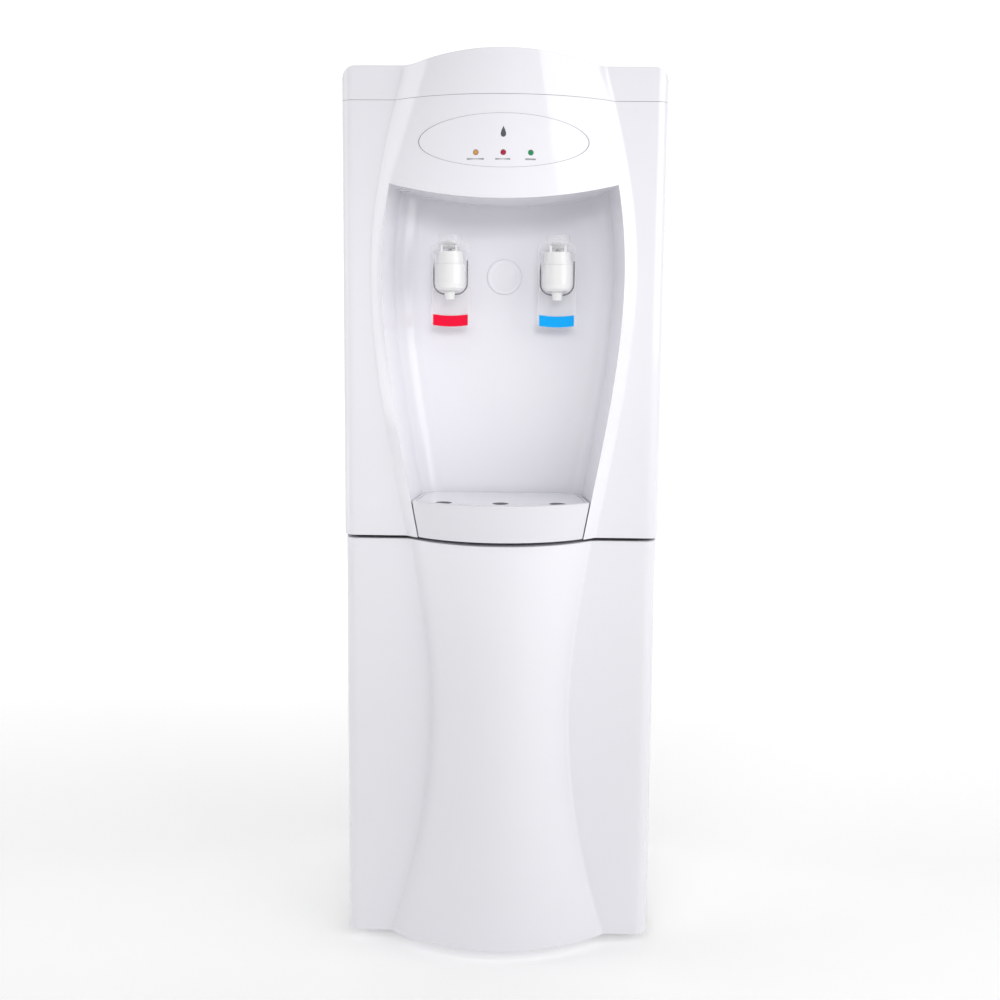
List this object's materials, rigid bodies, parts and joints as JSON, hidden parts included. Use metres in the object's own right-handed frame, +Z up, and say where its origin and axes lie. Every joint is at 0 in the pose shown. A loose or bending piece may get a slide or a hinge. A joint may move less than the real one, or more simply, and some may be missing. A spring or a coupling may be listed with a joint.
{
  "type": "water dispenser",
  "caption": "Free-standing water dispenser with a top bottle well, hot and cold lever taps in a niche, a removable drip tray and a storage cabinet below.",
  "frame": {"origin": "on the floor, at the middle of the bounding box seen from above", "axes": "+Z up along the longest extent, front faces -Y, +X to the right seen from the front"},
  "size_m": [0.31, 0.34, 0.8884],
  "materials": {
    "gloss_white": "glossy",
    "satin_white": "satin",
    "window_film": "glossy",
    "lamp_amber": "glossy",
    "lamp_red": "glossy",
    "lamp_green": "glossy",
    "circuit_board": "satin",
    "tap_white": "glossy",
    "clear_plastic": "glossy",
    "band_red": "glossy",
    "band_blue": "glossy",
    "silicone": "satin",
    "stainless": "satin",
    "rubber_grey": "matte",
    "rubber_black": "matte",
    "painted_steel": "satin",
    "grey_steel": "satin",
    "foam_white": "matte",
    "copper": "satin",
    "black_plastic": "satin",
    "compressor_black": "satin",
    "condenser_black": "satin",
    "rocker_red": "glossy",
    "rocker_green": "glossy"
  },
  "bodies": {
    "case": {"front_panel": "gloss_white", "top_cover": "gloss_white", "blanking_plug": "gloss_white", "cabinet_liner": "satin_white", "cabinet_shelf": "satin_white", "cold_tank_lid": "satin_white", "indicator_overlay": "window_film", "led_amber": "lamp_amber", "led_red": "lamp_red", "led_green": "lamp_green", "indicator_board": "circuit_board", "hot_tap_body": "tap_white", "cold_tap_body": "tap_white", "hot_tap_bonnet": "tap_white", "cold_tap_bonnet": "tap_white", "hot_tap_spring": "stainless", "cold_tap_spring": "stainless", "lever_pins": "stainless", "tap_nuts": "tap_white", "hinge_bracket_lower": "stainless", "hinge_bracket_upper": "stainless", "side_panel_left": "painted_steel", "side_panel_right": "painted_steel", "rear_cover_upper": "grey_steel", "rear_cover_lower": "grey_steel", "screws": "stainless", "base_plate": "grey_steel", "feet": "rubber_black", "tank_frame": "grey_steel", "cold_tank": "stainless", "cold_insulation": "foam_white", "evaporator_coil": "copper", "hot_tank": "stainless", "hot_insulation": "foam_white", "heater_band": "stainless", "thermostats": "black_plastic", "water_hoses": "silicone", "drain_outlet": "tap_white", "compressor": "compressor_black", "compressor_grommets": "rubber_black", "refrigerant_tubes": "copper", "condenser": "condenser_black", "switch_frames": "black_plastic", "cord_gland": "rubber_black"},
    "hot_lever": {"hot_tap_lever": "clear_plastic", "hot_band": "band_red"},
    "cold_lever": {"cold_tap_lever": "clear_plastic", "cold_band": "band_blue"},
    "hot_stem": {"hot_tap_stem": "silicone"},
    "cold_stem": {"cold_tap_stem": "silicone"},
    "tray": {"drip_tray": "gloss_white"},
    "tray_plate": {"drip_plate": "gloss_white"},
    "collar": {"bottle_collar": "satin_white", "feed_spike": "satin_white"},
    "door": {"door_panel": "gloss_white", "door_liner": "satin_white", "door_gasket": "rubber_grey"},
    "hot_switch": {"hot_rocker": "rocker_red"},
    "cold_switch": {"cold_rocker": "rocker_green"},
    "cap": {"drain_cap": "band_red"}
  },
  "joints": [
    {"name": "hot_lever_push", "type": "hinge", "parent": "case", "child": "hot_lever", "pos_m": [-0.0526, -0.112, 0.7055], "axis": [1, 0, 0], "range_deg": [0, 14], "stiffness_Nm_per_rad": 0.9, "springref_deg": -6.88},
    {"name": "hot_stem_lift", "type": "slide", "parent": "case", "child": "hot_stem", "axis": [0, 0, 1], "range_m": [0, 0.0021], "deforming": ["hot_tap_spring"]},
    {"name": "cold_lever_push", "type": "hinge", "parent": "case", "child": "cold_lever", "pos_m": [0.0526, -0.112, 0.7055], "axis": [1, 0, 0], "range_deg": [0, 14], "stiffness_Nm_per_rad": 0.9, "springref_deg": -6.88},
    {"name": "cold_stem_lift", "type": "slide", "parent": "case", "child": "cold_stem", "axis": [0, 0, 1], "range_m": [0, 0.0021], "deforming": ["cold_tap_spring"]},
    {"name": "tray_slide", "type": "slide", "parent": "case", "child": "tray", "axis": [0, -1, 0], "range_m": [0, 0.115]},
    {"name": "plate_lift", "type": "slide", "parent": "tray", "child": "tray_plate", "axis": [0, 0, 1], "range_m": [0, 0.03]},
    {"name": "collar_lift", "type": "slide", "parent": "case", "child": "collar", "axis": [0, 0, 1], "range_m": [0, 0.14]},
    {"name": "door_swing", "type": "hinge", "parent": "case", "child": "door", "pos_m": [0.147, -0.11, 0.217], "axis": [0, 0, 1], "range_deg": [0, 100]},
    {"name": "hot_switch_rock", "type": "hinge", "parent": "case", "child": "hot_switch", "pos_m": [-0.1, 0.137, 0.806], "axis": [1, 0, 0], "range_deg": [0, 16]},
    {"name": "cold_switch_rock", "type": "hinge", "parent": "case", "child": "cold_switch", "pos_m": [-0.066, 0.137, 0.806], "axis": [1, 0, 0], "range_deg": [0, 16]},
    {"name": "drain_cap_pull", "type": "slide", "parent": "case", "child": "cap", "axis": [0, 1, 0], "range_m": [0, 0.02]}
  ],
  "couplings": [
    {"joint": "hot_stem_lift", "follows": "hot_lever_push", "m_per_rad": 0.008},
    {"joint": "cold_stem_lift", "follows": "cold_lever_push", "m_per_rad": 0.008}
  ]
}
